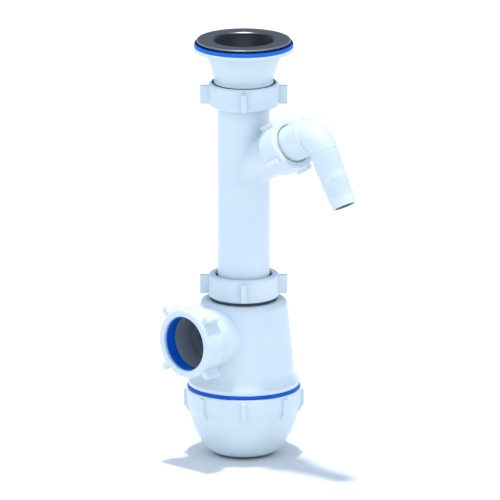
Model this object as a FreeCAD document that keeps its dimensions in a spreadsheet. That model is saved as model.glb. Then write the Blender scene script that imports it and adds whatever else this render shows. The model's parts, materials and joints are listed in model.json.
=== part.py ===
import FreeCAD, Part
import os
import re
import Sketcher

# Bottle trap for a kitchen sink. The origin is on the main axis, at the seat of the sink on its gasket.
# +Z points up, the outlet points along -Y and the hose branch rises towards +X.

# Driving dimensions, in millimetres and degrees
SIZES = {
    # Strainer, pressed from sheet
    "sheet": 0.8,
    "cup_height": 18.0,
    "cup_depth": 15.8,
    "cup_mouth": 23.2,
    "cup_floor": 19.4,
    "cup_rim": 36.2,
    "cup_lip": 1.0,
    "cup_round": 2.3,
    "cup_corner": 1.7,
    "rim_round": 0.8,
    "drain_hole": 3.1,
    "drain_pitch": 12.6,
    "drain_count": 8,
    # Strainer screw and its nut
    "screw_radius": 3.0,
    "screw_length": 16.0,
    "screw_head": 5.6,
    "screw_head_height": 2.6,
    "screw_dome": 8.0,
    "screw_slot": 1.4,
    "screw_slot_depth": 1.2,
    "screw_clearance": 0.3,
    "screw_nut_corner": 5.7,
    "screw_nut_height": 5.0,
    "screw_nut_play": 0.1,
    "thread_play": 0.06,
    # Sink gasket
    "gasket_radius": 38.0,
    "gasket_bore": 28.6,
    "gasket_thickness": 3.2,
    "gasket_round": 0.9,
    # Waste
    "waste_length": 39.2,
    "waste_flange": 38.4,
    "waste_flange_thickness": 2.8,
    "waste_funnel": 28.4,
    "waste_cone": 29.0,
    "waste_cone_top": 34.0,
    "waste_neck": 22.2,
    "waste_neck_height": 13.0,
    "waste_bore": 19.4,
    "waste_edge": 0.8,
    "waste_blend": 1.8,
    "thread_length": 11.4,
    "hub_radius": 8.0,
    "hub_height": 11.0,
    "web_thickness": 2.6,
    "web_drop": 1.2,
    "web_height": 7.6,
    # Union threads and winged union nuts
    "union_core": 22.9,
    "spigot_chamfer": 0.8,
    "union_radius": 27.0,
    "union_length": 18.0,
    "union_end": 2.4,
    "union_bore": 23.8,
    "union_relief": 0.7,
    "union_relief_depth": 4.0,
    "union_lip_round": 1.8,
    "union_mouth": 21.2,
    "neck_mouth": 22.0,
    "union_round": 2.0,
    "union_wing_tip": 33.6,
    "union_wing_width": 4.2,
    "union_wing_length": 14.2,
    "union_wing_setback": 1.4,
    "union_turn": 45.0,
    # Flat seals
    "top_seal_thickness": 2.2,
    "top_seal_bore": 18.4,
    "hose_seal_thickness": 2.0,
    # Inlet pipe with its branch
    "pipe_radius": 20.0,
    "pipe_bore": 18.0,
    "pipe_length": 252.0,
    "pipe_collar": 22.8,
    "pipe_collar_thickness": 2.6,
    "pipe_end_chamfer": 0.8,
    "branch_drop": 56.8,
    "branch_tilt": 30.0,
    "branch_length": 54.9,
    "branch_core": 16.2,
    "branch_bore": 12.8,
    "branch_blend": 2.0,
    # Winged nut of the hose nozzle
    "hose_radius": 20.4,
    "hose_length": 17.4,
    "hose_end": 2.4,
    "hose_bore": 17.1,
    "hose_relief": 0.6,
    "hose_relief_depth": 2.0,
    "hose_lip_round": 1.2,
    "hose_mouth": 15.4,
    "hose_round": 1.6,
    "hose_wing_tip": 23.8,
    "hose_wing_width": 4.2,
    "hose_wing_length": 13.4,
    "hose_wing_setback": 2.4,
    "hose_turn": 26.0,
    # Hose nozzle
    "nozzle_collar": 16.4,
    "nozzle_collar_thickness": 2.6,
    "stub_radius": 14.3,
    "stub_length": 25.0,
    "stub_round": 0.4,
    "tail_height": 33.0,
    "bend_radius": 13.8,
    "bend_start": 12.8,
    "tail_root": 11.2,
    "tail_tip": 9.5,
    "tail_length": 62.0,
    "tail_bore": 7.9,
    "tail_step": 17.0,
    "tail_step_depth": 0.3,
    "barb_height": 0.8,
    "barb_pitch": 3.9,
    "barb_face": 3.1,
    "barb_first": 19.6,
    "barb_second": 39.8,
    "barb_count": 4,
    "stub_bore": 11.4,
    "bore_corner": 4.0,
    # Conical seals on the neck and the outlet
    "seal_collar": 23.2,
    "seal_collar_thickness": 2.4,
    "seal_cone_length": 6.2,
    "seal_cone_top": 22.0,
    "seal_cone_tip": 20.95,
    "seal_gap": 0.3,
    "pipe_slide": 0.05,
    # Bottle
    "neck_drop": 143.0,
    "bottle_height": 82.4,
    "bottle_neck": 15.3,
    "bottle_shoulder": 33.2,
    "bottle_shoulder_round": 4.5,
    "bottle_waist": 38.5,
    "bottle_waist_height": 13.6,
    "bottle_flange": 43.0,
    "bottle_flange_thickness": 3.1,
    "bottle_flare": 16.0,
    "bottle_wall": 2.7,
    "bottle_skirt": 40.2,
    "bottle_skirt_length": 12.0,
    "bottle_mouth": 37.4,
    "neck_bore": 20.5,
    "outlet_drop": 24.3,
    "outlet_reach": 60.5,
    "outlet_bore": 20.3,
    "outlet_stop": 38.0,
    "outlet_stop_bore": 18.4,
    # Bowl and its seal
    "bowl_seal_thickness": 2.9,
    "bowl_seal_radius": 43.3,
    "bowl_seal_bore": 40.6,
    "bowl_seal_round": 0.8,
    "bowl_height": 51.5,
    "bowl_rim": 44.5,
    "bowl_collar": 44.0,
    "bowl_collar_length": 12.5,
    "bowl_waist": 42.4,
    "bowl_waist_drop": 16.5,
    "bowl_corner": 31.0,
    "bowl_corner_height": 6.8,
    "bowl_corner_lean": 34.0,
    "bowl_foot": 18.5,
    "foot_pad": 16.5,
    "foot_pad_height": 1.2,
    "bowl_side_bend": 75.0,
    "bowl_corner_bend": 14.9,
    "bowl_wall": 2.6,
    "bowl_bore": 41.2,
    "bowl_bore_depth": 13.0,
    "bowl_edge": 0.7,
    "rib_tip": 46.3,
    "rib_width": 4.1,
    "rib_drop": 2.0,
    "rib_length": 17.5,
    "rib_slope": 6.0,
    "rib_count": 8,
    # Small rounding that a moulded edge has, and the least width left between two roundings
    "mould_edge": 0.6,
    "seam": 0.2,
}

X_AXIS = FreeCAD.Vector(1, 0, 0)
Y_AXIS = FreeCAD.Vector(0, 1, 0)
Z_AXIS = FreeCAD.Vector(0, 0, 1)
NO_TURN = FreeCAD.Rotation()

doc = FreeCAD.newDocument("SinkTrap")
sheet = doc.addObject("Spreadsheet::Sheet", "Sizes")
for row, (word, number) in enumerate(SIZES.items(), start=1):
    sheet.set(f"A{row}", word)
    sheet.set(f"B{row}", str(number))
    sheet.setAlias(f"B{row}", word)
doc.recompute()


def cells(text):
    """An expression in which each size word refers to its cell."""
    return re.sub(r"[a-z]\w*", lambda word: f"Sizes.{word[0]}" if word[0] in SIZES else word[0], text)


def value(text):
    """The number that an expression of size words gives."""
    return float(sheet.evalExpression(cells(text)))


def place(thing, base=("0", "0", "0"), turn=NO_TURN):
    """Set a finished piece at its place in the trap."""
    thing.Placement = FreeCAD.Placement(FreeCAD.Vector(*[value(text) for text in base]), turn)
    for axis, text in zip("xyz", base):
        thing.setExpression(f"Placement.Base.{axis}", cells(text))


def new_body(label):
    body = doc.addObject("PartDesign::Body", label)
    body.Label = label
    return body


def new_sketch(body, name, role, origin, turn):
    """A sketch on one of the body's own planes, moved and turned within that plane."""
    sketch = body.newObject("Sketcher::SketchObject", name)
    plane = next(item for item in body.Origin.OriginFeatures if item.Role == role)
    sketch.AttachmentSupport = [(plane, "")]
    sketch.MapMode = "FlatFace"
    corner = FreeCAD.Vector(*[value(text) for text in origin])
    sketch.AttachmentOffset = FreeCAD.Placement(corner, FreeCAD.Rotation(Z_AXIS, turn))
    for axis, text in zip("xyz", origin):
        sketch.setExpression(f"AttachmentOffset.Base.{axis}", cells(text))
    return sketch


def bind_point(sketch, geometry, end, across, up):
    """Tie one end of a line or arc to its two sizes."""
    for text, kind, axis in ((across, "DistanceX", -2), (up, "DistanceY", -1)):
        if text == "0":
            sketch.addConstraint(Sketcher.Constraint("PointOnObject", geometry, end, axis))
            continue
        rule = Sketcher.Constraint(kind, -1, 1, geometry, end, value(text))
        sketch.setExpression(f"Constraints[{sketch.addConstraint(rule)}]", cells(text))


def arc_between(start, end, radius, side):
    """The short arc from start to end that bulges to the given side of the way between them."""
    way = end - start
    across = FreeCAD.Vector(-way.y, way.x, 0).normalize()
    if side == "left":
        across = -across
    height = (radius ** 2 - way.Length ** 2 / 4) ** 0.5
    middle = (start + end) / 2
    crown = middle + across * (height - radius)
    return Part.Arc(start, crown, end)


def outline(body, name, corners, role="XZ_Plane", origin=("0", "0", "0"), turn=0):
    """A closed outline through corners (across, up); a third item (side, radius) bends the way onwards."""
    sketch = new_sketch(body, name, role, origin, turn)
    points = [FreeCAD.Vector(value(corner[0]), value(corner[1]), 0) for corner in corners]
    ends = []
    for number, corner in enumerate(corners):
        start = points[number]
        end = points[(number + 1) % len(points)]
        if len(corner) == 2:
            geometry = sketch.addGeometry(Part.LineSegment(start, end))
            ends.append((geometry, 1, 2))
            continue
        side, radius = corner[2]
        arc = arc_between(start, end, value(radius), side)
        geometry = sketch.addGeometry(arc)
        first = sketch.getPoint(geometry, 1)
        forward = (first - start).Length < (first - end).Length
        ends.append((geometry, 1, 2) if forward else (geometry, 2, 1))
        rule = Sketcher.Constraint("Radius", geometry, value(radius))
        sketch.setExpression(f"Constraints[{sketch.addConstraint(rule)}]", cells(radius))
    for number, corner in enumerate(corners):
        here = ends[number]
        before = ends[number - 1]
        sketch.addConstraint(Sketcher.Constraint("Coincident", before[0], before[2], here[0], here[1]))
        bind_point(sketch, here[0], here[1], corner[0], corner[1])
    return sketch


def disc(body, name, radius, role="XY_Plane", origin=("0", "0", "0")):
    """A round outline about the sketch's own origin."""
    sketch = new_sketch(body, name, role, origin, 0)
    circle = Part.Circle(FreeCAD.Vector(0, 0, 0), Z_AXIS, value(radius))
    geometry = sketch.addGeometry(circle)
    sketch.addConstraint(Sketcher.Constraint("Coincident", geometry, 3, -1, 1))
    rule = Sketcher.Constraint("Radius", geometry, value(radius))
    sketch.setExpression(f"Constraints[{sketch.addConstraint(rule)}]", cells(radius))
    return sketch


def turned(body, name, corners, axis="V_Axis", **where):
    """Solid turned from a half section."""
    sketch = outline(body, name + "Section", corners, **where)
    feature = body.newObject("PartDesign::Revolution", name)
    feature.Profile = sketch
    feature.ReferenceAxis = (sketch, [axis])
    feature.Angle = 360
    doc.recompute()
    return feature


def bored(body, name, corners, axis="V_Axis", **where):
    """Round hollow cut by a half section; it has to take material away."""
    before = body.Shape.Volume
    sketch = outline(body, name + "Section", corners, **where)
    feature = body.newObject("PartDesign::Groove", name)
    feature.Profile = sketch
    feature.ReferenceAxis = (sketch, [axis])
    feature.Angle = 360
    doc.recompute()
    if not body.Shape.Volume < before:
        raise ValueError(f"{name} cuts nothing")
    return feature


def padded(body, name, sketch, length, middle=False):
    feature = body.newObject("PartDesign::Pad", name)
    feature.Profile = sketch
    feature.setExpression("Length", cells(length))
    feature.Midplane = middle
    doc.recompute()
    return feature


def pocketed(body, name, sketch):
    """Cut right through on both sides of the sketch; it has to take material away."""
    before = body.Shape.Volume
    feature = body.newObject("PartDesign::Pocket", name)
    feature.Profile = sketch
    feature.Type = "ThroughAll"
    feature.Midplane = True
    doc.recompute()
    if not body.Shape.Volume < before:
        raise ValueError(f"{name} cuts nothing")
    return feature


def repeated(body, name, feature, count):
    """Copies of a feature round the body's own Z axis."""
    pattern = body.newObject("PartDesign::PolarPattern", name)
    pattern.Originals = [feature]
    axis = next(item for item in body.Origin.OriginFeatures if item.Role == "Z_Axis")
    pattern.Axis = (axis, [""])
    pattern.Angle = 360
    pattern.setExpression("Occurrences", cells(count))
    body.Tip = pattern
    doc.recompute()
    return pattern


def softened(body, name, radius, chosen):
    """Fillet on the edges of the body that chosen accepts."""
    base = body.Tip
    edges = [f"Edge{number}" for number, edge in enumerate(base.Shape.Edges, start=1) if chosen(edge)]
    feature = body.newObject("PartDesign::Fillet", name)
    feature.Base = (base, edges)
    feature.setExpression("Radius", cells(radius))
    doc.recompute()
    return feature


def ring(*places):
    """Accepts round edges about Z, given as pairs of radius and height."""
    rings = [(value(radius), value(height)) for radius, height in places]

    def accepts(edge):
        curve = edge.Curve
        if not isinstance(curve, Part.Circle):
            return False
        fits = [abs(curve.Radius - radius) + abs(curve.Center.z - height) < 0.001 for radius, height in rings]
        return any(fits)

    return accepts


def tip_edges(tip, width):
    """Accepts the edges round the end face of a wing or rib."""
    corner = value(f"sqrt({tip} ^ 2 + ({width} / 2) ^ 2)")

    def accepts(edge):
        reach = [FreeCAD.Vector(vertex.X, vertex.Y, 0).Length for vertex in edge.Vertexes]
        return all(abs(distance - corner) < 0.001 for distance in reach)

    return accepts


def winged_nut(label, kind, mouth):
    """Moulded nut with four wings. Its mouth is at the bottom, and its thread opens upwards into a relief."""
    nut = new_body(label)
    turned(nut, "Shell", [
        (mouth, "0"),
        (f"{kind}_radius", "0"),
        (f"{kind}_radius", f"{kind}_length"),
        (f"{kind}_bore + {kind}_relief", f"{kind}_length"),
        (f"{kind}_bore + {kind}_relief", f"{kind}_length - {kind}_relief_depth"),
        (f"{kind}_bore", f"{kind}_length - {kind}_relief_depth"),
        (f"{kind}_bore", f"{kind}_end"),
        (mouth, f"{kind}_end"),
    ])
    softened(nut, "ClosedEnd", f"{kind}_round", ring((f"{kind}_radius", "0")))
    softened(nut, "OpenEnd", f"{kind}_lip_round", ring((f"{kind}_radius", f"{kind}_length")))
    softened(nut, "MouthLip", "mould_edge", ring((mouth, "0")))
    root = f"({kind}_bore + {kind}_radius) / 2"
    section = outline(nut, "WingSection", [
        (root, "0"),
        (f"{kind}_wing_tip", "0"),
        (f"{kind}_wing_tip", f"{kind}_wing_width"),
        (root, f"{kind}_wing_width"),
    ], role="XY_Plane", origin=("0", f"-{kind}_wing_width / 2", f"{kind}_wing_setback"))
    wing = padded(nut, "Wing", section, f"{kind}_wing_length")
    repeated(nut, "Wings", wing, "4")
    softened(nut, "WingTips", "mould_edge", tip_edges(f"{kind}_wing_tip", f"{kind}_wing_width"))
    return nut


def flat_seal(label, bore, radius, thickness):
    seal = new_body(label)
    turned(seal, "Ring", [(bore, "0"), (radius, "0"), (radius, thickness), (bore, thickness)])
    return seal


def conical_seal(label, bore):
    """Seal with a flat collar at the bottom and a cone above it, which points into the socket."""
    seal = new_body(label)
    tip = "seal_collar_thickness + seal_cone_length"
    turned(seal, "Cone", [
        (bore, "0"),
        ("seal_collar", "0"),
        ("seal_collar", "seal_collar_thickness"),
        ("seal_cone_top", "seal_collar_thickness"),
        ("seal_cone_tip", tip),
        (bore, tip),
    ])
    return seal


# Waste: flange under the sink, funnel, threaded spigot and a hub on four webs for the strainer's screw
waste_bottom = "-gasket_thickness - waste_length"
under_flange = "waste_length - waste_flange_thickness"
hub_top = "waste_length + gasket_thickness - cup_depth"
hub_bottom = f"{hub_top} - hub_height"
waste = new_body("waste_body")
turned(waste, "Funnel", [
    ("waste_bore", "0"),
    ("union_core - spigot_chamfer", "0"),
    ("union_core", "spigot_chamfer"),
    ("union_core", "thread_length"),
    ("waste_neck", "waste_neck_height"),
    ("waste_cone", "waste_cone_top"),
    ("waste_cone", under_flange),
    ("waste_flange", under_flange),
    ("waste_flange", "waste_length"),
    ("waste_funnel", "waste_length"),
    ("waste_bore", "waste_neck_height"),
])
flange_rims = ring(("waste_flange", "waste_length"), ("waste_flange", under_flange))
softened(waste, "FlangeEdge", "waste_edge", flange_rims)
blend_room = f"{under_flange} - waste_cone_top - seam"
softened(waste, "FlangeBlend", f"min(waste_blend; {blend_room})", ring(("waste_cone", under_flange)))
turned(waste, "Hub", [("0", hub_bottom), ("hub_radius", hub_bottom), ("hub_radius", hub_top), ("0", hub_top)])
web_top = f"{hub_top} - web_drop"
web_foot = f"{web_top} - web_height"
cone_slope = "(waste_cone - waste_neck) / (waste_cone_top - waste_neck_height)"
wall_middle = "(waste_neck + waste_bore) / 2"
web_section = outline(waste, "WebSection", [
    ("0", web_foot),
    (f"{wall_middle} + {cone_slope} * ({web_foot} - waste_neck_height)", web_foot),
    (f"{wall_middle} + {cone_slope} * ({web_top} - waste_neck_height)", web_top),
    ("0", web_top),
])
web = padded(waste, "Web", web_section, "web_thickness", middle=True)
repeated(waste, "Webs", web, "4")
bored(waste, "ScrewHole", [
    ("0", hub_bottom),
    ("screw_radius + screw_clearance", hub_bottom),
    ("screw_radius + screw_clearance", hub_top),
    ("0", hub_top),
])
nut_pocket = waste.newObject("PartDesign::SubtractivePrism", "NutPocket")
nut_pocket.Polygon = 6
nut_pocket.setExpression("Circumradius", cells("screw_nut_corner + screw_nut_play"))
nut_pocket.setExpression("Height", cells("screw_nut_height + screw_nut_play"))
nut_pocket.setExpression("Placement.Base.z", cells(hub_bottom))
place(waste, ("0", "0", waste_bottom))

# Brass nut trapped in the hub, against the pocket's ceiling
screw_nut = new_body("screw_nut")
hexagon = screw_nut.newObject("PartDesign::AdditivePrism", "Hexagon")
hexagon.Polygon = 6
hexagon.setExpression("Circumradius", cells("screw_nut_corner"))
hexagon.setExpression("Height", cells("screw_nut_height"))
doc.recompute()
bored(screw_nut, "Thread", [
    ("0", "0"),
    ("screw_radius + thread_play", "0"),
    ("screw_radius + thread_play", "screw_nut_height"),
    ("0", "screw_nut_height"),
])
place(screw_nut, ("0", "0", f"{waste_bottom} + {hub_bottom} + screw_nut_play"))

# Sink gasket on the waste's flange
gasket = new_body("sink_gasket")
turned(gasket, "Ring", [
    ("gasket_bore", "0"),
    ("gasket_radius", "0"),
    ("gasket_radius", "gasket_thickness"),
    ("gasket_bore", "gasket_thickness"),
])
softened(gasket, "Edge", "gasket_round", ring(("gasket_radius", "0"), ("gasket_radius", "gasket_thickness")))
place(gasket, ("0", "0", "-gasket_thickness"))

# Strainer: a dish with a flat flange whose edge is rolled down towards the sink
cup = new_body("strainer_cup")
flange_under = "cup_height - sheet"
turned(cup, "Dish", [
    ("screw_radius + screw_clearance", "0"),
    ("cup_floor + sheet", "0"),
    ("cup_mouth + sheet", flange_under),
    ("cup_rim - sheet", flange_under),
    ("cup_rim - sheet", "cup_height - cup_lip"),
    ("cup_rim", "cup_height - cup_lip"),
    ("cup_rim", "cup_height"),
    ("cup_mouth", "cup_height"),
    ("cup_floor", "sheet"),
    ("screw_radius + screw_clearance", "sheet"),
])
softened(cup, "MouthRound", "cup_round", ring(("cup_mouth", "cup_height")))
softened(cup, "UnderRound", "cup_round - sheet", ring(("cup_mouth + sheet", flange_under)))
softened(cup, "FloorRound", "cup_corner", ring(("cup_floor", "sheet")))
softened(cup, "FootRound", "cup_corner + sheet", ring(("cup_floor + sheet", "0")))
softened(cup, "RimRound", "rim_round", ring(("cup_rim", "cup_height")))
hole = disc(cup, "HoleSection", "drain_hole", origin=("drain_pitch", "0", "0"))
drain = pocketed(cup, "Drain", hole)
repeated(cup, "Drains", drain, "drain_count")
place(cup, ("0", "0", "-cup_depth"))

# Screw that pulls the strainer down, with a domed head and a slot
screw = new_body("strainer_screw")
turned(screw, "Shank", [
    ("0", "0"),
    ("screw_radius", "0"),
    ("screw_radius", "screw_length"),
    ("screw_head", "screw_length"),
    ("screw_head", "screw_length + screw_head_height / 2", ("right", "screw_dome")),
    ("0", "screw_length + screw_head_height"),
])
slot = outline(screw, "SlotSection", [
    ("0", "0"),
    ("screw_slot", "0"),
    ("screw_slot", "2 * screw_head"),
    ("0", "2 * screw_head"),
], role="XY_Plane", origin=("-screw_slot / 2", "-screw_head", "screw_length + screw_head_height"))
slot_cut = screw.newObject("PartDesign::Pocket", "Slot")
slot_cut.Profile = slot
slot_cut.setExpression("Length", cells("screw_slot_depth"))
place(screw, ("0", "0", "sheet - cup_depth - screw_length"))

# Flat seal between the waste's spigot and the pipe's collar
pipe_top = f"{waste_bottom} - top_seal_thickness"
top_seal = flat_seal("top_seal", "top_seal_bore", "pipe_collar", "top_seal_thickness")
place(top_seal, ("0", "0", pipe_top))

# Union nut that lifts the collar against the seal
top_nut = winged_nut("top_nut", "union", "union_mouth")
nut_turn = FreeCAD.Rotation(Z_AXIS, value("union_turn"))
place(top_nut, ("0", "0", f"{pipe_top} - pipe_collar_thickness - union_end"), nut_turn)

# Inlet pipe: collar, 40 mm tube down into the bottle, and the inclined branch
pipe = new_body("inlet_pipe")
branch_height = "pipe_length - branch_drop"
branch_turn = value("branch_tilt") - 90
branch_place = {"origin": ("0", branch_height, "0"), "turn": branch_turn}
turned(pipe, "Tube", [
    ("0", "0"),
    ("pipe_radius - pipe_end_chamfer", "0"),
    ("pipe_radius", "pipe_end_chamfer"),
    ("pipe_radius", "pipe_length - pipe_collar_thickness"),
    ("pipe_collar", "pipe_length - pipe_collar_thickness"),
    ("pipe_collar", "pipe_length"),
    ("0", "pipe_length"),
])
turned(pipe, "Branch", [
    ("0", "0"),
    ("branch_core", "0"),
    ("branch_core", "branch_length - spigot_chamfer"),
    ("branch_core - spigot_chamfer", "branch_length"),
    ("0", "branch_length"),
], **branch_place)


def joins_branch(edge):
    """The seam between tube and branch."""
    lengths = [FreeCAD.Vector(point.x, point.y, 0).Length for point in edge.discretize(5)]
    on_tube = all(abs(distance - value("pipe_radius")) < 0.01 for distance in lengths)
    return on_tube and not isinstance(edge.Curve, (Part.Circle, Part.Line))


softened(pipe, "BranchBlend", "branch_blend", joins_branch)
bored(pipe, "Bore", [("0", "0"), ("pipe_bore", "0"), ("pipe_bore", "pipe_length"), ("0", "pipe_length")])
bored(pipe, "BranchBore", [
    ("0", "0"),
    ("branch_bore", "0"),
    ("branch_bore", "branch_length"),
    ("0", "branch_length"),
], **branch_place)
place(pipe, ("0", "0", f"{pipe_top} - pipe_length"))

# Pieces on the branch stand along its axis, each at its distance from the pipe's axis
along_x = "cos(branch_tilt * 1deg)"
along_z = "sin(branch_tilt * 1deg)"


def on_branch(distance):
    return (f"{along_x} * ({distance})", "0", f"{pipe_top} - branch_drop + {along_z} * ({distance})")


branch_out = FreeCAD.Rotation(Y_AXIS, 90 - value("branch_tilt"))
nozzle_start = "branch_length + hose_seal_thickness"
hose_seal = flat_seal("nozzle_seal", "branch_bore", "branch_core", "hose_seal_thickness")
place(hose_seal, on_branch("branch_length"), branch_out)

# Winged nut that holds the nozzle's collar
nozzle_nut = winged_nut("nozzle_nut", "hose", "hose_mouth")
hose_mouth_place = f"{nozzle_start} + nozzle_collar_thickness + hose_end"
flipped = FreeCAD.Rotation(Y_AXIS, 180)
wing_clock = FreeCAD.Rotation(Z_AXIS, -value("hose_turn"))
place(nozzle_nut, on_branch(hose_mouth_place), branch_out * flipped * wing_clock)

# Hose nozzle: collar, stub, elbow that narrows, and a barbed tail across the stub's axis
nozzle = new_body("hose_nozzle")
turned(nozzle, "Stub", [
    ("0", "0"),
    ("nozzle_collar", "0"),
    ("nozzle_collar", "nozzle_collar_thickness"),
    ("stub_radius", "nozzle_collar_thickness"),
    ("stub_radius", "stub_length"),
    ("0", "stub_length"),
])
softened(nozzle, "StubEnd", "stub_round", ring(("stub_radius", "stub_length")))
bend_foot = "tail_height - bend_radius"
spine = new_sketch(nozzle, "BendLine", "XZ_Plane", ("0", bend_foot, "0"), 0)
bend = value("bend_radius")
bend_start_point = FreeCAD.Vector(0, 0, 0)
bend_end_point = FreeCAD.Vector(bend, bend, 0)
bend_arc = spine.addGeometry(arc_between(bend_start_point, bend_end_point, bend, "left"))
spine_start = 1 if spine.getPoint(bend_arc, 1).Length < spine.getPoint(bend_arc, 2).Length else 2
bind_point(spine, bend_arc, spine_start, "0", "0")
bind_point(spine, bend_arc, 3 - spine_start, "bend_radius", "bend_radius")
bend_rule = spine.addConstraint(Sketcher.Constraint("Radius", bend_arc, bend))
spine.setExpression(f"Constraints[{bend_rule}]", cells("bend_radius"))
wide_end = disc(nozzle, "BendStart", "bend_start", origin=("0", "0", bend_foot))
narrow_end = disc(nozzle, "BendEnd", "tail_root", role="YZ_Plane", origin=("0", "tail_height", "bend_radius"))
elbow = nozzle.newObject("PartDesign::AdditivePipe", "Elbow")
elbow.Profile = wide_end
elbow.Spine = spine
elbow.Sections = [narrow_end]
elbow.Transformation = "Multisection"
doc.recompute()
tail_place = {"axis": "H_Axis", "origin": ("0", "tail_height", "0")}
taper = "(tail_root - tail_step_depth - tail_tip) / (tail_length - tail_step)"


def tail_radius(distance):
    return f"tail_root - tail_step_depth - {taper} * ({distance} - tail_step)"


tail_corners = [("bend_radius", "0"), ("bend_radius", "tail_root"), ("tail_step", "tail_root")]
tail_corners.append(("tail_step", tail_radius("tail_step")))
for group in ("barb_first", "barb_second"):
    for number in range(SIZES["barb_count"]):
        heel = f"({group} + {number} * barb_pitch)"
        toe = f"({heel} + barb_face)"
        tail_corners.append((heel, tail_radius(heel)))
        tail_corners.append((heel, f"{tail_radius(heel)} + barb_height"))
        tail_corners.append((toe, tail_radius(toe)))
tail_corners += [("tail_length", "tail_tip"), ("tail_length", "0")]
turned(nozzle, "Tail", tail_corners, **tail_place)
bored(nozzle, "TailBore", [
    ("0", "0"),
    ("tail_length", "0"),
    ("tail_length", "tail_bore"),
    ("bore_corner", "tail_bore"),
    ("0", "tail_bore - bore_corner"),
], **tail_place)
bored(nozzle, "StubBore", [
    ("0", "0"),
    ("stub_bore", "0"),
    ("tail_bore", "tail_height - bore_corner"),
    ("tail_bore - bore_corner", "tail_height"),
    ("0", "tail_height"),
])
place(nozzle, on_branch(nozzle_start), branch_out)

# Bottle: neck thread, shoulder, tapered wall, flange and a threaded skirt below it
neck_top = f"{pipe_top} - neck_drop"
skirt_end = f"{neck_top} - bottle_height - bottle_skirt_length"


def up_bottle(height):
    """Height in the bottle's own frame, which starts at the end of its skirt."""
    return f"bottle_skirt_length + {height}"


shoulder_height = "bottle_height - bottle_neck"
bottle = new_body("bottle_body")
turned(bottle, "Outside", [
    ("0", "0"),
    ("bottle_skirt - spigot_chamfer", "0"),
    ("bottle_skirt", "spigot_chamfer"),
    ("bottle_skirt", "bottle_skirt_length"),
    ("bottle_flange", "bottle_skirt_length"),
    ("bottle_flange", up_bottle("bottle_flange_thickness"), ("left", "bottle_flare")),
    ("bottle_waist", up_bottle("bottle_waist_height")),
    ("bottle_shoulder", up_bottle(shoulder_height)),
    ("union_core", up_bottle(shoulder_height)),
    ("union_core", up_bottle("bottle_height")),
    ("0", up_bottle("bottle_height")),
])
softened(bottle, "ShoulderRound", "bottle_shoulder_round", ring(
    ("bottle_shoulder", up_bottle(shoulder_height)),
))
softened(bottle, "FlangeEdge", "mould_edge", ring(
    ("bottle_flange", "bottle_skirt_length"),
    ("bottle_flange", up_bottle("bottle_flange_thickness")),
))
outlet_axis = up_bottle(f"{shoulder_height} - outlet_drop")
outlet_base = ("0", outlet_axis, "0")
outlet_place = {"axis": "H_Axis", "role": "YZ_Plane", "origin": outlet_base, "turn": 180}
turned(bottle, "Outlet", [
    ("0", "0"),
    ("outlet_reach", "0"),
    ("outlet_reach", "union_core"),
    ("0", "union_core"),
], **outlet_place)
recess_foot = "seal_cone_tip + seal_gap"
recess_mouth = "seal_cone_top + seal_gap"
cone_depth = "seal_cone_length + seal_gap"
ceiling = up_bottle(f"{shoulder_height} - bottle_wall")
bored(bottle, "Inside", [
    ("0", "0"),
    ("bottle_mouth", "0"),
    ("bottle_mouth", up_bottle("bottle_flange_thickness")),
    ("bottle_waist - bottle_wall", up_bottle("bottle_waist_height")),
    ("bottle_shoulder - bottle_wall", ceiling),
    ("neck_bore", ceiling),
    ("neck_bore", up_bottle(f"bottle_height - ({cone_depth})")),
    (recess_foot, up_bottle(f"bottle_height - ({cone_depth})")),
    (recess_mouth, up_bottle("bottle_height")),
    ("0", up_bottle("bottle_height")),
])
bored(bottle, "OutletSocket", [
    ("0", "0"),
    ("outlet_reach", "0"),
    ("outlet_reach", recess_mouth),
    (f"outlet_reach - ({cone_depth})", recess_foot),
    (f"outlet_reach - ({cone_depth})", "outlet_bore"),
    ("outlet_stop", "outlet_bore"),
    ("outlet_stop", "outlet_stop_bore"),
    ("0", "outlet_stop_bore"),
], **outlet_place)
place(bottle, ("0", "0", skirt_end))

# Conical seal and union nut on the neck, through which the pipe slides
upside_down = FreeCAD.Rotation(X_AXIS, 180)
neck_seal = conical_seal("neck_seal", "pipe_radius + pipe_slide")
place(neck_seal, ("0", "0", f"{neck_top} + seal_collar_thickness"), upside_down)
neck_nut = winged_nut("neck_nut", "union", "neck_mouth")
place(neck_nut, ("0", "0", f"{neck_top} + seal_collar_thickness + union_end"), upside_down * nut_turn)

# Conical seal and union nut on the outlet, for a 40 mm waste pipe
outlet_level = f"{skirt_end} + {outlet_axis}"
towards_bottle = FreeCAD.Rotation(X_AXIS, -90)
outlet_seal = conical_seal("outlet_seal", "outlet_bore + pipe_slide")
place(outlet_seal, ("0", "-outlet_reach - seal_collar_thickness", outlet_level), towards_bottle)
outlet_nut = winged_nut("outlet_nut", "union", "union_mouth")
outlet_mouth = "-outlet_reach - seal_collar_thickness - union_end"
place(outlet_nut, ("0", outlet_mouth, outlet_level), towards_bottle * nut_turn)

# Ring seal between the bottle's flange and the bowl's rim
bowl_rim_level = f"{neck_top} - bottle_height - bowl_seal_thickness"
bowl_seal = flat_seal("bowl_seal", "bowl_seal_bore", "bowl_seal_radius", "bowl_seal_thickness")
softened(bowl_seal, "Edge", "bowl_seal_round", ring(
    ("bowl_seal_radius", "0"),
    ("bowl_seal_radius", "bowl_seal_thickness"),
))
place(bowl_seal, ("0", "0", bowl_rim_level))

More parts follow.
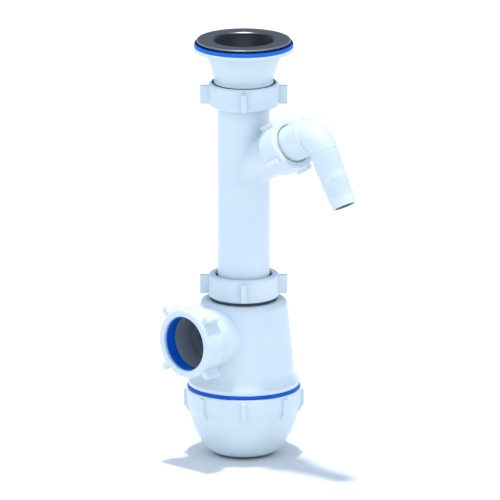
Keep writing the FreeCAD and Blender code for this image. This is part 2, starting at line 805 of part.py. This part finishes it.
# Bowl: a pad to stand on, rounded sides, a collar with the inner thread and grip ribs round it
waist_height = "bowl_height - bowl_waist_drop"
rib_top = "bowl_height - rib_drop"
rib_foot = f"{rib_top} - rib_length"
bowl = new_body("bowl")
turned(bowl, "Outside", [
    ("0", "0"),
    ("bowl_foot", "0", ("right", "bowl_corner_bend")),
    ("bowl_corner", "bowl_corner_height", ("right", "bowl_side_bend")),
    ("bowl_waist", waist_height),
    ("bowl_collar", "bowl_height - bowl_collar_length"),
    ("bowl_rim", "bowl_height"),
    ("0", "bowl_height"),
])
softened(bowl, "RimEdge", "bowl_edge", ring(("bowl_rim", "bowl_height")))
pad_height = "foot_pad_height + bowl_wall / 2"
turned(bowl, "FootPad", [
    ("0", "0"),
    ("foot_pad", "0"),
    ("foot_pad", pad_height),
    ("0", pad_height),
], origin=("0", "-foot_pad_height", "0"))
rib_section = outline(bowl, "RibSection", [
    ("bowl_waist - bowl_wall / 2", rib_foot),
    ("bowl_waist", rib_foot),
    ("rib_tip", f"{rib_foot} + rib_slope"),
    ("rib_tip", rib_top),
    ("bowl_waist - bowl_wall / 2", rib_top),
])
rib = padded(bowl, "Rib", rib_section, "rib_width", middle=True)
repeated(bowl, "Ribs", rib, "rib_count")
softened(bowl, "RibTips", "mould_edge", tip_edges("rib_tip", "rib_width"))
bore_floor = "bowl_height - bowl_bore_depth"
inner_corner = "bowl_corner - bowl_wall * cos(bowl_corner_lean * 1deg)"
inner_corner_height = "bowl_corner_height + bowl_wall * sin(bowl_corner_lean * 1deg)"
bored(bowl, "Inside", [
    ("0", "bowl_wall"),
    ("bowl_foot", "bowl_wall", ("right", "bowl_corner_bend - bowl_wall")),
    (inner_corner, inner_corner_height, ("right", "bowl_side_bend")),
    ("bowl_waist - bowl_wall", waist_height),
    ("bowl_waist - bowl_wall", bore_floor),
    ("bowl_bore", bore_floor),
    ("bowl_bore", "bowl_height"),
    ("0", "bowl_height"),
])
place(bowl, ("0", "0", f"{bowl_rim_level} - bowl_height"))

# Every feature has to be sound before the pieces are written
doc.recompute()
faulty = [item.Name for item in doc.Objects if {"Invalid", "Error"} & set(item.State)]
if faulty:
    raise ValueError(f"failed features: {faulty}")
pieces = [item for item in doc.Objects if item.isDerivedFrom("PartDesign::Body")]
for piece in pieces:
    if piece.Shape.isNull() or not piece.Shape.isValid() or len(piece.Shape.Solids) != 1:
        raise ValueError(f"{piece.Label} is not one sound solid")

os.makedirs("parts", exist_ok=True)
for piece in pieces:
    piece.Shape.exportStep(f"parts/{piece.Label}.step")
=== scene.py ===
import json
import math
from collections import namedtuple

import bpy
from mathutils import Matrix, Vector

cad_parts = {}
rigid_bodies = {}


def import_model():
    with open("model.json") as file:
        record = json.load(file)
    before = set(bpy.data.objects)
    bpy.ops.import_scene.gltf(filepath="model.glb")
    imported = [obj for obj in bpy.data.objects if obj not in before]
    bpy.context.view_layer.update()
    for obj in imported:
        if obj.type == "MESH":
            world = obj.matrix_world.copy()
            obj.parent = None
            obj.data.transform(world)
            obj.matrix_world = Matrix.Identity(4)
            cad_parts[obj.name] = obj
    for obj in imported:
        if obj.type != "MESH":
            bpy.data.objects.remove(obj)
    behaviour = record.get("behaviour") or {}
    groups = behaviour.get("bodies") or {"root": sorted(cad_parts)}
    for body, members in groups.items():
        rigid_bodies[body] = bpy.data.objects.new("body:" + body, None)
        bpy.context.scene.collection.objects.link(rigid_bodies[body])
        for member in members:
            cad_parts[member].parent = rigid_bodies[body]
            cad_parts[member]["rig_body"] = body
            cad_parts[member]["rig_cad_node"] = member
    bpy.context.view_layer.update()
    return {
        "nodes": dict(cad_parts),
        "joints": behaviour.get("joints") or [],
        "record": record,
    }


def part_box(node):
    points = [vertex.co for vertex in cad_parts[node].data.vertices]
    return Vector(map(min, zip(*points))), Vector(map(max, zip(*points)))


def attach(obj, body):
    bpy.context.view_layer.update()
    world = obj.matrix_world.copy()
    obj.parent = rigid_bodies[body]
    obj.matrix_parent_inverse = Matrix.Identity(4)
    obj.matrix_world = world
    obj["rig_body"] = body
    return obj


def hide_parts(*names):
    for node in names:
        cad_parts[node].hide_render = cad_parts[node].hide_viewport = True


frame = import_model()

# Waste: a polypropylene moulding that hangs under the sink, with a flange, a funnel and a thread.
# It is injected in one shot, so its skin has a soft gloss, faint flow marks and a blue-white tint.
# The flange is clamped up against the sink's gasket.
MM = 0.001
UP = Vector((0, 0, 1))
PALE = (0.65, 0.715, 0.76, 1)
PALER = (0.69, 0.75, 0.79, 1)
# Painted shade for the deepest gaps.
GAP_SHADE = (0.05, 0.056, 0.062, 1)
GLOSS = 0.32
GLOSS_SPREAD = 0.08
GRAIN = 0.017 * MM
FADE = 0.4 * MM
MERGE_DISTANCE = 0.002 * MM


class Wire:
    """An output of a shader node. Sums, differences and products of wires make the nodes for them."""

    def __init__(self, socket):
        self.socket = socket

    def into(self, entry):
        self.socket.id_data.links.new(self.socket, entry)

    def node(self, kind, entry, way_out, options=(), values=()):
        """Send this value into a new node of any kind, and return one of its outputs."""
        made = self.socket.id_data.nodes.new(kind)
        for word, choice in dict(options).items():
            setattr(made, word, choice)
        for word, value in dict(values).items():
            if isinstance(value, Wire):
                value.into(made.inputs[word])
            else:
                made.inputs[word].default_value = value
        self.into(made.inputs[entry])
        return Wire(made.outputs[way_out])

    def maths(self, operation, other):
        return self.node("ShaderNodeMath", 0, 0, {"operation": operation}, {1: other})

    def __add__(self, other):
        return self.maths("ADD", other)

    __radd__ = __add__

    def __mul__(self, other):
        return self.maths("MULTIPLY", other)

    __rmul__ = __mul__

    def __sub__(self, other):
        return self.maths("SUBTRACT", other)

    def __rsub__(self, other):
        return self * -1 + other

    def parts(self):
        """The X, Y and Z of a place or a direction."""
        outputs = self.node("ShaderNodeSeparateXYZ", "Vector", "X").socket.node.outputs
        return [Wire(part) for part in outputs]

    def noise(self, scale, detail):
        """Even noise from 0 to 1, at a scale of spots in a metre."""
        return self.node("ShaderNodeTexNoise", "Vector", "Fac", values={"Scale": scale, "Detail": detail})

    def around(self, middle, spread):
        """A value that this noise moves up and down about a middle one."""
        return middle + spread * (self - 0.5)

    def mix(self, low, high):
        """Colour between two, by this value."""
        return self.node("ShaderNodeMix", 0, 2, {"data_type": "RGBA"}, {6: low, 7: high})

    def ramp(self, low, high):
        """0 below low, 1 above high and a soft rise between them."""
        options = {"interpolation_type": "SMOOTHSTEP"}
        return self.node("ShaderNodeMapRange", "Value", 0, options, {"From Min": low, "From Max": high})

    def bump(self, depth, strength=1):
        """Surface normal for this height, with its depth in metres."""
        return self.node("ShaderNodeBump", "Height", 0, values={"Distance": depth, "Strength": strength})


def new_material(name):
    """A material, its shader and the place on the piece."""
    made = bpy.data.materials.new(name)
    made.use_nodes = True
    shader = made.node_tree.nodes["Principled BSDF"]
    place = made.node_tree.nodes.new("ShaderNodeTexCoord").outputs["Object"]
    return made, shader, Wire(place)


# A bore or a gap, which starts at a point and runs one way to its depth, with painted shade that makes it
# darker than the rest.
Hollow = namedtuple("Hollow", "dull point way depth radius fade", defaults=[FADE])


def vector_maths(operation, first, second, way_out):
    return first.node("ShaderNodeVectorMath", 0, way_out, {"operation": operation}, {1: second})


def with_painted_shade(tint, place, hollows):
    """Tint with painted shade: inside each hollow it changes to that hollow's darker tint."""
    for shade_tint, point, way, depth, radius, fade in hollows:
        away = vector_maths("SUBTRACT", place, point, 0)
        reach = vector_maths("LENGTH", vector_maths("CROSS_PRODUCT", away, way, 0), (0, 0, 0), "Value")
        along = vector_maths("DOT_PRODUCT", away, way, "Value")
        within = along.ramp(0, fade) * (1 - along.ramp(depth - fade, depth))
        tint = (within * (1 - reach.ramp(radius - fade, radius))).mix(tint, shade_tint)
    return tint


def moulded(name, gloss, grain, *hollows):
    """Polypropylene with flow marks, an uneven gloss from handling, a fine mould grain and painted shade
    in its hollows.
    """
    made, shader, place = new_material(name)
    flow = place.noise(scale=26, detail=3)
    handled = place.noise(scale=140, detail=4)
    tint = flow.ramp(0.3, 0.7).mix(PALE, PALER)
    with_painted_shade(tint, place, hollows).into(shader.inputs["Base Color"])
    handled.around(gloss, GLOSS_SPREAD).into(shader.inputs["Roughness"])
    peel = 0.7 * place.noise(scale=420, detail=1) + 0.25 * place.noise(scale=1900, detail=2)
    peel.bump(grain).into(shader.inputs["Normal"])
    shader.inputs["IOR"].default_value = 1.49
    shader.inputs["Subsurface Weight"].default_value = 0.04
    shader.inputs["Subsurface Scale"].default_value = 1.5 * MM
    return made


def only(*chosen):
    """Select these objects and no other."""
    bpy.ops.object.select_all(action="DESELECT")
    for item in chosen:
        item.select_set(True)
    bpy.context.view_layer.objects.active = chosen[-1]


def finished(piece, material, body, crease=35):
    """Clean mesh, soft shading up to the crease angle, material and body of a piece."""
    only(piece)
    bpy.ops.object.mode_set(mode="EDIT")
    bpy.ops.mesh.select_all(action="SELECT")
    bpy.ops.mesh.remove_doubles(threshold=MERGE_DISTANCE)
    bpy.ops.mesh.normals_make_consistent(inside=False)
    bpy.ops.object.mode_set(mode="OBJECT")
    bpy.ops.object.shade_smooth_by_angle(angle=math.radians(crease))
    piece.data.materials.clear()
    piece.data.materials.append(material)
    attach(piece, body)


def dressed(name, material):
    """A merged and softly shaded copy of a CAD node stands for it."""
    only(frame["nodes"][name])
    bpy.ops.object.duplicate()
    skin = bpy.context.active_object
    skin.name = name + "_skin"
    body = skin["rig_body"]
    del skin["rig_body"]
    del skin["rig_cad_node"]
    skin.parent = None
    bpy.ops.mesh.customdata_custom_splitnormals_clear()
    finished(skin, material, body, crease=28)
    flats = skin.modifiers.new("Flats", "WEIGHTED_NORMAL")
    flats.keep_sharp = True
    bpy.ops.object.modifier_apply(modifier=flats.name)
    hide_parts(name)


def picked(piece, rule):
    """Go to edit mode with the vertices selected that the rule accepts."""
    bpy.ops.object.mode_set(mode="EDIT")
    bpy.ops.mesh.select_mode(type="VERT")
    bpy.ops.mesh.select_all(action="DESELECT")
    bpy.ops.object.mode_set(mode="OBJECT")
    for vertex in piece.data.vertices:
        vertex.select = rule(vertex.co)
    bpy.ops.object.mode_set(mode="EDIT")


def thread(name, core, crest, pitch, turns):
    """Tapered ridge wound round the Z axis, from height 0 up, with its foot inside the core."""
    foot_width = 0.62 * pitch
    crest_share = 0.35
    steps_in_turn = 72
    bpy.ops.object.select_all(action="DESELECT")
    bpy.ops.mesh.primitive_plane_add(size=1)
    ridge = bpy.context.active_object
    ridge.name = name
    bpy.ops.object.mode_set(mode="EDIT")
    bpy.ops.mesh.select_all(action="SELECT")
    bpy.ops.transform.resize(value=(2 * crest, foot_width, 1))
    picked(ridge, lambda place: place.x > 0)
    bpy.ops.transform.resize(value=(1, crest_share, 1))
    bpy.ops.mesh.select_all(action="SELECT")
    bpy.ops.transform.rotate(value=math.radians(-90), orient_axis="X", center_override=(0, 0, 0))
    bpy.ops.transform.translate(value=(core, 0, 0))
    bpy.ops.mesh.delete(type="ONLY_FACE")
    bpy.ops.object.mode_set(mode="OBJECT")
    winding = ridge.modifiers.new("Winding", "SCREW")
    winding.axis = "Z"
    winding.screw_offset = pitch
    winding.iterations = turns
    winding.steps = steps_in_turn
    winding.render_steps = steps_in_turn
    bpy.ops.object.modifier_apply(modifier=winding.name)
    bpy.ops.object.mode_set(mode="EDIT")
    bpy.ops.mesh.select_all(action="SELECT")
    bpy.ops.mesh.fill_holes(sides=0)
    bpy.ops.object.mode_set(mode="OBJECT")
    return ridge


def moved(piece, place, turn=(0, 0, 0)):
    """Turn a piece by angles in degrees and set it at its place, and leave its own frame at the origin."""
    only(piece)
    piece.rotation_euler = [math.radians(angle) for angle in turn]
    piece.location = place
    bpy.ops.object.transform_apply(location=True, rotation=True, scale=True)


def level(height):
    """The point on the trap's axis at a height."""
    return UP * height


waste_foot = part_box("waste_body")[0].z
top_nut_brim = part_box("top_nut")[1].z
# Painted shade: a thin dark strip on the waste just above the top nut's brim, in the gap between them.
under_funnel = Hollow(GAP_SHADE, level(top_nut_brim + FADE), -UP, depth=1.8 * MM, radius=30 * MM)
waste_white = moulded("waste_moulding", GLOSS, GRAIN, under_funnel)
dressed("waste_body", waste_white)
waste_thread = thread("waste_thread", core=22.9 * MM, crest=0.6 * MM, pitch=3 * MM, turns=3)
waste_thread_start = level(waste_foot + 1.2 * MM)
moved(waste_thread, waste_thread_start)
finished(waste_thread, waste_white, "waste")

# Gasket: a soft ring of blue rubber between the sink and the waste's flange.
# It is pressed in a two-part mould, which leaves a thin flash line round its edge.
BLUE = (0.001, 0.15, 0.66, 1)
BLUER = (0.002, 0.185, 0.75, 1)
BLUE_SHADE = (0.001, 0.016, 0.12, 1)
RUBBER_GLOSS = 0.42
BLOOM_SPREAD = 0.22
RUBBER_GRAIN = 0.02 * MM


def rubber(name, low, high, *hollows):
    """Soft rubber with a dusty bloom, and painted shade in its hollows."""
    made, shader, place = new_material(name)
    bloom = place.noise(scale=60, detail=4)
    tint = bloom.ramp(0.35, 0.75).mix(low, high)
    with_painted_shade(tint, place, hollows).into(shader.inputs["Base Color"])
    bloom.around(RUBBER_GLOSS, BLOOM_SPREAD).into(shader.inputs["Roughness"])
    place.noise(scale=1400, detail=2).bump(RUBBER_GRAIN).into(shader.inputs["Normal"])
    shader.inputs["IOR"].default_value = 1.40
    shader.inputs["Specular IOR Level"].default_value = 0.2
    return made


def ring_edge(name):
    """Radius of a CAD ring and the height of its middle."""
    low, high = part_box(name)
    return high.x, (low.z + high.z) / 2


def flash_line(name, radius, height, material, body, slot):
    """Thin fin where the two halves of a mould met, sharp along its outer edge."""
    outer_part = radius + 0.05 * MM
    edge_share = 0.3
    bpy.ops.object.select_all(action="DESELECT")
    bpy.ops.mesh.primitive_torus_add(
        major_radius=radius,
        minor_radius=0.14 * MM,
        major_segments=160,
        minor_segments=8,
        location=(0, 0, height),
    )
    fin = bpy.context.active_object
    fin.name = name
    bpy.ops.object.transform_apply(location=True)
    picked(fin, lambda place: math.hypot(place.x, place.y) > outer_part)
    bpy.ops.transform.resize(value=(1, 1, edge_share), center_override=(0, 0, height))
    bpy.ops.object.mode_set(mode="OBJECT")
    finished(fin, material, body)


gasket_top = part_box("sink_gasket")[1].z
# Painted shade on the gasket's top, where it runs under the steel rim.
under_rim = Hollow(BLUE_SHADE, level(gasket_top - 0.5 * MM), UP, depth=5 * MM, radius=45 * MM)
gasket_rubber = rubber("gasket_rubber", BLUE, BLUER, under_rim)
dressed("sink_gasket", gasket_rubber)
flash_line("gasket_flash", *ring_edge("sink_gasket"), gasket_rubber, "waste", "gasket_rubber")

# Strainer: a dish pressed from stainless sheet, with a flange that is rolled down at its rim.
# It was polished while it turned, so fine rings run round it.
# A screw in the middle pulls it down onto the waste, with a brass nut under it.
STEEL = (0.45, 0.47, 0.52, 1)
SCREW_STEEL = (0.44, 0.45, 0.47, 1)
RIM_HIGHLIGHT_STEEL = (0.54, 0.59, 0.66, 1)
BRASS = (0.60, 0.42, 0.14, 1)
TARNISHED = (0.44, 0.29, 0.10, 1)
DISH_WALL = 22.5 * MM
DISH_BRIM = 25.5 * MM
STRAINER_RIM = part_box("strainer_cup")[1].x
RINGS_IN_METRE = 9000
RING_DEPTH = 0.002 * MM
RING_SPREAD = 0.05
SMEAR_SPREAD = 0.05
RIM_HIGHLIGHT_ROUGHNESS = 0.36


def dimmed(tint, share):
    """The same tint with a share of its light."""
    return [part * share for part in tint[:3]] + [1]


def turned_steel(name, tint, gloss):
    """Bright sheet with fine rings from polishing on a spindle, painted shade in the dish and a painted
    highlight line along the rim.
    """
    made, shader, place = new_material(name)
    across, along = place.parts()[:2]
    reach = (across * across + along * along).maths("POWER", 0.5)
    rings = (reach * RINGS_IN_METRE).node(
        "ShaderNodeTexNoise", "W", "Fac", {"noise_dimensions": "1D"}, {"Scale": 1, "Detail": 3}
    )
    smear = place.noise(scale=45, detail=4)
    sheet = smear.ramp(0.3, 0.8).mix(tint, dimmed(tint, 0.86))
    # Painted shade: the dish is darker than the flange.
    sheet = reach.ramp(DISH_WALL, DISH_BRIM).mix(dimmed(tint, 0.7), sheet)
    # Painted highlight: a thin pale band just inside the rolled rim, which is also rougher there.
    past_inner_edge = reach.ramp(STRAINER_RIM - 0.9 * MM, STRAINER_RIM - 0.6 * MM)
    past_outer_edge = reach.ramp(STRAINER_RIM - 0.45 * MM, STRAINER_RIM - 0.25 * MM)
    rim_highlight = past_inner_edge * (1 - past_outer_edge)
    rim_highlight.mix(sheet, RIM_HIGHLIGHT_STEEL).into(shader.inputs["Base Color"])
    ringed = rings.around(gloss + RIM_HIGHLIGHT_ROUGHNESS * rim_highlight, RING_SPREAD)
    smear.around(ringed, SMEAR_SPREAD).into(shader.inputs["Roughness"])
    rings.bump(RING_DEPTH, strength=0.6).into(shader.inputs["Normal"])
    shader.inputs["Metallic"].default_value = 1
    return made


dressed("strainer_cup", turned_steel("sheet_steel", STEEL, gloss=0.33))
dressed("strainer_screw", turned_steel("screw_steel", SCREW_STEEL, gloss=0.46))
brass, brass_shader, brass_place = new_material("brass")
tarnish = brass_place.noise(scale=300, detail=4)
tarnish.mix(BRASS, TARNISHED).into(brass_shader.inputs["Base Color"])
(0.25 + 0.25 * tarnish).into(brass_shader.inputs["Roughness"])
brass_shader.inputs["Metallic"].default_value = 1
dressed("screw_nut", brass)

# Top union: a flat rubber seal between waste and pipe, and a winged nut that pulls them together by hand.
# The nut is a moulding of its own, a little duller than the pipe, with its thread inside.
BLACK = (0.010, 0.010, 0.012, 1)
DUSTY_BLACK = (0.030, 0.030, 0.034, 1)
# Painted shade for the inside of bores and threads.
BORE_SHADE = (0.26, 0.29, 0.32, 1)
THROUGH = 60 * MM
UNION_BORE = 24.9 * MM
NUT_FLOOR = 2.6 * MM
NUT_GLOSS = 0.34
NUT_GRAIN = 0.023 * MM


def nut(name, point, way, radius):
    """A winged nut, with painted shade in its threaded bore."""
    bore = Hollow(BORE_SHADE, point, way, THROUGH, radius)
    dressed(name, moulded(name + "_moulding", NUT_GLOSS, NUT_GRAIN, bore))


dark_rubber = rubber("dark_rubber", BLACK, DUSTY_BLACK)
dressed("top_seal", dark_rubber)
top_nut_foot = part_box("top_nut")[0].z
nut("top_nut", level(top_nut_foot + NUT_FLOOR), UP, UNION_BORE)

# Inlet pipe: a moulded 40 mm pipe that runs down into the bottle, with a collar at its top.
# A branch for an appliance hose rises from it at an angle and ends in a thread.
BRANCH_THREAD_START = 46.4 * MM
branch = next(joint for joint in frame["joints"] if joint["name"] == "nozzle_swivel")
branch_root = Vector(branch["pos_m"])
branch_way = Vector(branch["axis"])
branch_lean = math.degrees(UP.angle(branch_way))
pipe_white = moulded("pipe_moulding", GLOSS, GRAIN)
dressed("inlet_pipe", pipe_white)
branch_thread = thread("branch_thread", core=16.2 * MM, crest=0.5 * MM, pitch=2.5 * MM, turns=3)
moved(branch_thread, branch_root + branch_way * BRANCH_THREAD_START, turn=(0, branch_lean, 0))
finished(branch_thread, pipe_white, "pipe")

# Hose nozzle: a moulded elbow that narrows to a barbed tail, for the hose of a washing machine.
# It is held on the branch by its own small winged nut, with a flat black seal under its collar.
NOZZLE_COLLAR = 59 * MM
NOZZLE_NUT_BORE = 18.1 * MM
TAIL_BORE = 8.3 * MM
dressed("nozzle_seal", dark_rubber)
nut("nozzle_nut", branch_root + branch_way * NOZZLE_COLLAR, -branch_way, NOZZLE_NUT_BORE)
mounts = {mount["name"]: mount for mount in frame["record"]["mounts"]}
tail = mounts["hose_tail"]
tail_way = Vector(tail["axis"])
tail_root = Vector(tail["pos_m"]) - tail_way * tail["dims"]["length_mm"] * MM
# Painted shade inside the tail's bore.
tail_hollow = Hollow(BORE_SHADE, tail_root, tail_way, THROUGH, TAIL_BORE)
nozzle_white = moulded("nozzle_moulding", GLOSS, GRAIN, tail_hollow)
dressed("hose_nozzle", nozzle_white)

# Bottle: the moulded body of the trap, with a threaded neck, a side outlet and a threaded skirt.
# A conical seal and a winged nut grip the pipe, so its height can be set before it is tightened.
SHADE = (0.15, 0.165, 0.18, 1)
OUTLET_BORE = 20.9 * MM
OUTLET_STOP = 37.5 * MM
NECK_THREAD_DEPTH = 11.6 * MM
bottle_low, bottle_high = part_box("bottle_body")
neck_nut_low, neck_nut_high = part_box("neck_nut")
outlet = mounts["outlet_socket"]
outlet_way = Vector(outlet["axis"])
outlet_root = level(outlet["pos_m"][2])
outlet_stop = outlet_root + outlet_way * OUTLET_STOP
# Painted shade in the outlet's bore, on its stop, deep inside it, and on the shoulder under the neck nut.
bottle_hollows = [
    Hollow(BORE_SHADE, outlet_root, outlet_way, depth=90 * MM, radius=OUTLET_BORE),
    Hollow(SHADE, outlet_stop, outlet_way, depth=0.9 * MM, radius=OUTLET_BORE, fade=0.3 * MM),
    Hollow(GAP_SHADE, outlet_root, outlet_way, depth=30 * MM, radius=OUTLET_BORE, fade=1 * MM),
    Hollow(SHADE, level(neck_nut_low.z - 4.2 * MM), UP, THROUGH, neck_nut_high.x, fade=2 * MM),
]
bottle_white = moulded("bottle_moulding", GLOSS, GRAIN, *bottle_hollows)
dressed("bottle_body", bottle_white)
dressed("neck_seal", dark_rubber)
neck_seal_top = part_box("neck_seal")[1].z
nut("neck_nut", level(neck_seal_top), -UP, UNION_BORE)


def copied(piece, start, name, place, turn=(0, 0, 0)):
    """A turned piece of the same shape with its own mesh, and its start moved to another place."""
    only(piece)
    bpy.ops.object.duplicate()
    twin = bpy.context.active_object
    twin.name = name
    twin.parent = None
    moved(twin, -start)
    moved(twin, place, turn)
    return twin


neck_start = level(bottle_high.z - NECK_THREAD_DEPTH)
neck_thread = copied(waste_thread, waste_thread_start, "neck_thread", neck_start)
finished(neck_thread, bottle_white, "bottle")

# Outlet: the waste pipe is pushed in through the nut and its blue conical seal, to a stop in the bottle.
# The seal is pressed from soft rubber, and the winged nut squeezes it onto the pipe.
SEAL_BLUE = (0.001, 0.095, 0.52, 1)
SEAL_BLUER = (0.002, 0.12, 0.60, 1)
OUTLET_THREAD_DEPTH = 10.7 * MM
seal_rubber = rubber("seal_rubber", SEAL_BLUE, SEAL_BLUER)
dressed("outlet_seal", seal_rubber)
seal_reach = -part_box("outlet_seal")[0].y
nut("outlet_nut", outlet_root + outlet_way * seal_reach, -outlet_way, UNION_BORE)
outlet_start = outlet_root + outlet_way * (-bottle_low.y - OUTLET_THREAD_DEPTH)
outlet_thread = copied(waste_thread, waste_thread_start, "outlet_thread", outlet_start, turn=(90, 0, 0))
finished(outlet_thread, bottle_white, "bottle")

# Bowl: the moulded cup at the bottom that is screwed off to clean the trap, with grip ribs on its collar.
# A blue ring seals it against the bottle's flange.
GATE_RADIUS = 4.5 * MM
bowl_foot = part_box("bowl")[0].z
dressed("bowl_seal", seal_rubber)
flash_line("bowl_seal_flash", *ring_edge("bowl_seal"), seal_rubber, "bowl_seal", "seal_rubber")
# Painted shade on the underside of the bowl round its foot, where it stands on the floor.
foot_shade = Hollow(SHADE, level(bowl_foot + 3.1 * MM), -UP, depth=20 * MM, radius=24 * MM, fade=2 * MM)
bowl_white = moulded("bowl_moulding", GLOSS, GRAIN, foot_shade)
dressed("bowl", bowl_white)
flash_line("bowl_gate_ring", GATE_RADIUS, bowl_foot + 0.05 * MM, bowl_white, "bowl", "white_plastic")
skirt_thread = thread("skirt_thread", core=40.2 * MM, crest=0.3 * MM, pitch=3.5 * MM, turns=2)
moved(skirt_thread, level(bottle_low.z + 1.6 * MM))
finished(skirt_thread, bottle_white, "bottle")

# Stage: a pale floor as in a catalogue picture, with a small bright lamp straight above the trap.
# Blue light from all round fills the shadows, and the background is white.
FLOOR_GREY = (0.69, 0.69, 0.69, 1)
FLOOR_PALE = (0.71, 0.71, 0.71, 1)
floor_height = bowl_foot - 0.1 * MM
bpy.ops.object.select_all(action="DESELECT")
bpy.ops.mesh.primitive_plane_add(size=12, location=(0, 0, floor_height))
floor = bpy.context.active_object
floor.name = "floor"
floor_paint, floor_shader, floor_place = new_material("floor_paint")
floor_tint = floor_place.noise(scale=3, detail=2).mix(FLOOR_GREY, FLOOR_PALE)
floor_tint.into(floor_shader.inputs["Base Color"])
floor_shader.inputs["Roughness"].default_value = 0.8
floor_shader.inputs["Specular IOR Level"].default_value = 0.1
floor.data.materials.append(floor_paint)

LAMP_LEAN = math.radians(-0.4)
bpy.ops.object.light_add(type="SUN", rotation=(LAMP_LEAN, LAMP_LEAN, 0))
lamp = bpy.context.active_object
lamp.name = "overhead"
lamp.data.energy = 2.55
lamp.data.angle = math.radians(4)

# The room is brightest part way up its walls, on the side that the photo was taken from.
# Gloss shows a darker room, because the steel in the photo is dark.
FRONT = math.radians(45)
WHITE = (1, 1, 1, 1)
BACK_WALL = (0.76, 0.92, 1.12, 1)
FRONT_WALL = (1.18, 1.40, 1.68, 1)
LOW_WALL = (0.40, 0.49, 0.60, 1)
CEILING = (0.44, 0.54, 0.68, 1)
DUSK_LOW = (0.18, 0.22, 0.28, 1)
DUSK_HIGH = (0.02, 0.026, 0.036, 1)
DUSK_FRONT = (0.012, 0.015, 0.02, 1)
world = bpy.data.worlds.new("studio")
bpy.context.scene.world = world
world.use_nodes = True
sky = world.node_tree.nodes["Background"]
look = Wire(world.node_tree.nodes.new("ShaderNodeTexCoord").outputs["Generated"])
rightward, backward, height = look.parts()
frontward = rightward * math.sin(FRONT) - backward * math.cos(FRONT)
rays = world.node_tree.nodes.new("ShaderNodeLightPath").outputs
wall = frontward.ramp(-0.75, 0.1).mix(BACK_WALL, FRONT_WALL)
walls = height.ramp(0.05, 0.35).mix(LOW_WALL, wall)
glow = height.ramp(0.6, 0.95).mix(walls, CEILING)
far_dusk = height.ramp(0.0, 0.8).mix(DUSK_LOW, DUSK_HIGH)
dusk = frontward.ramp(-0.6, 0.2).mix(far_dusk, DUSK_FRONT)
room = Wire(rays["Is Glossy Ray"]).mix(glow, dusk)
Wire(rays["Is Camera Ray"]).mix(room, WHITE).into(sky.inputs["Color"])

RISE = math.radians(14.6)
DISTANCE = 12.0
AIM = level(-160.7 * MM)
bpy.ops.object.camera_add()
camera = bpy.context.active_object
bpy.context.scene.camera = camera
flat_back = Vector((math.sin(FRONT), -math.cos(FRONT), 0))
back = flat_back * math.cos(RISE) + UP * math.sin(RISE)
camera.location = AIM + back * DISTANCE
camera.rotation_mode = "QUATERNION"
camera.rotation_quaternion = (-back).to_track_quat("-Z", "Y")
camera.data.sensor_width = 36
camera.data.lens = 1123.5
camera.data.shift_x = 0.0125
camera.data.shift_y = -0.01
camera.data.clip_end = 100

bpy.context.scene.view_settings.view_transform = "Standard"
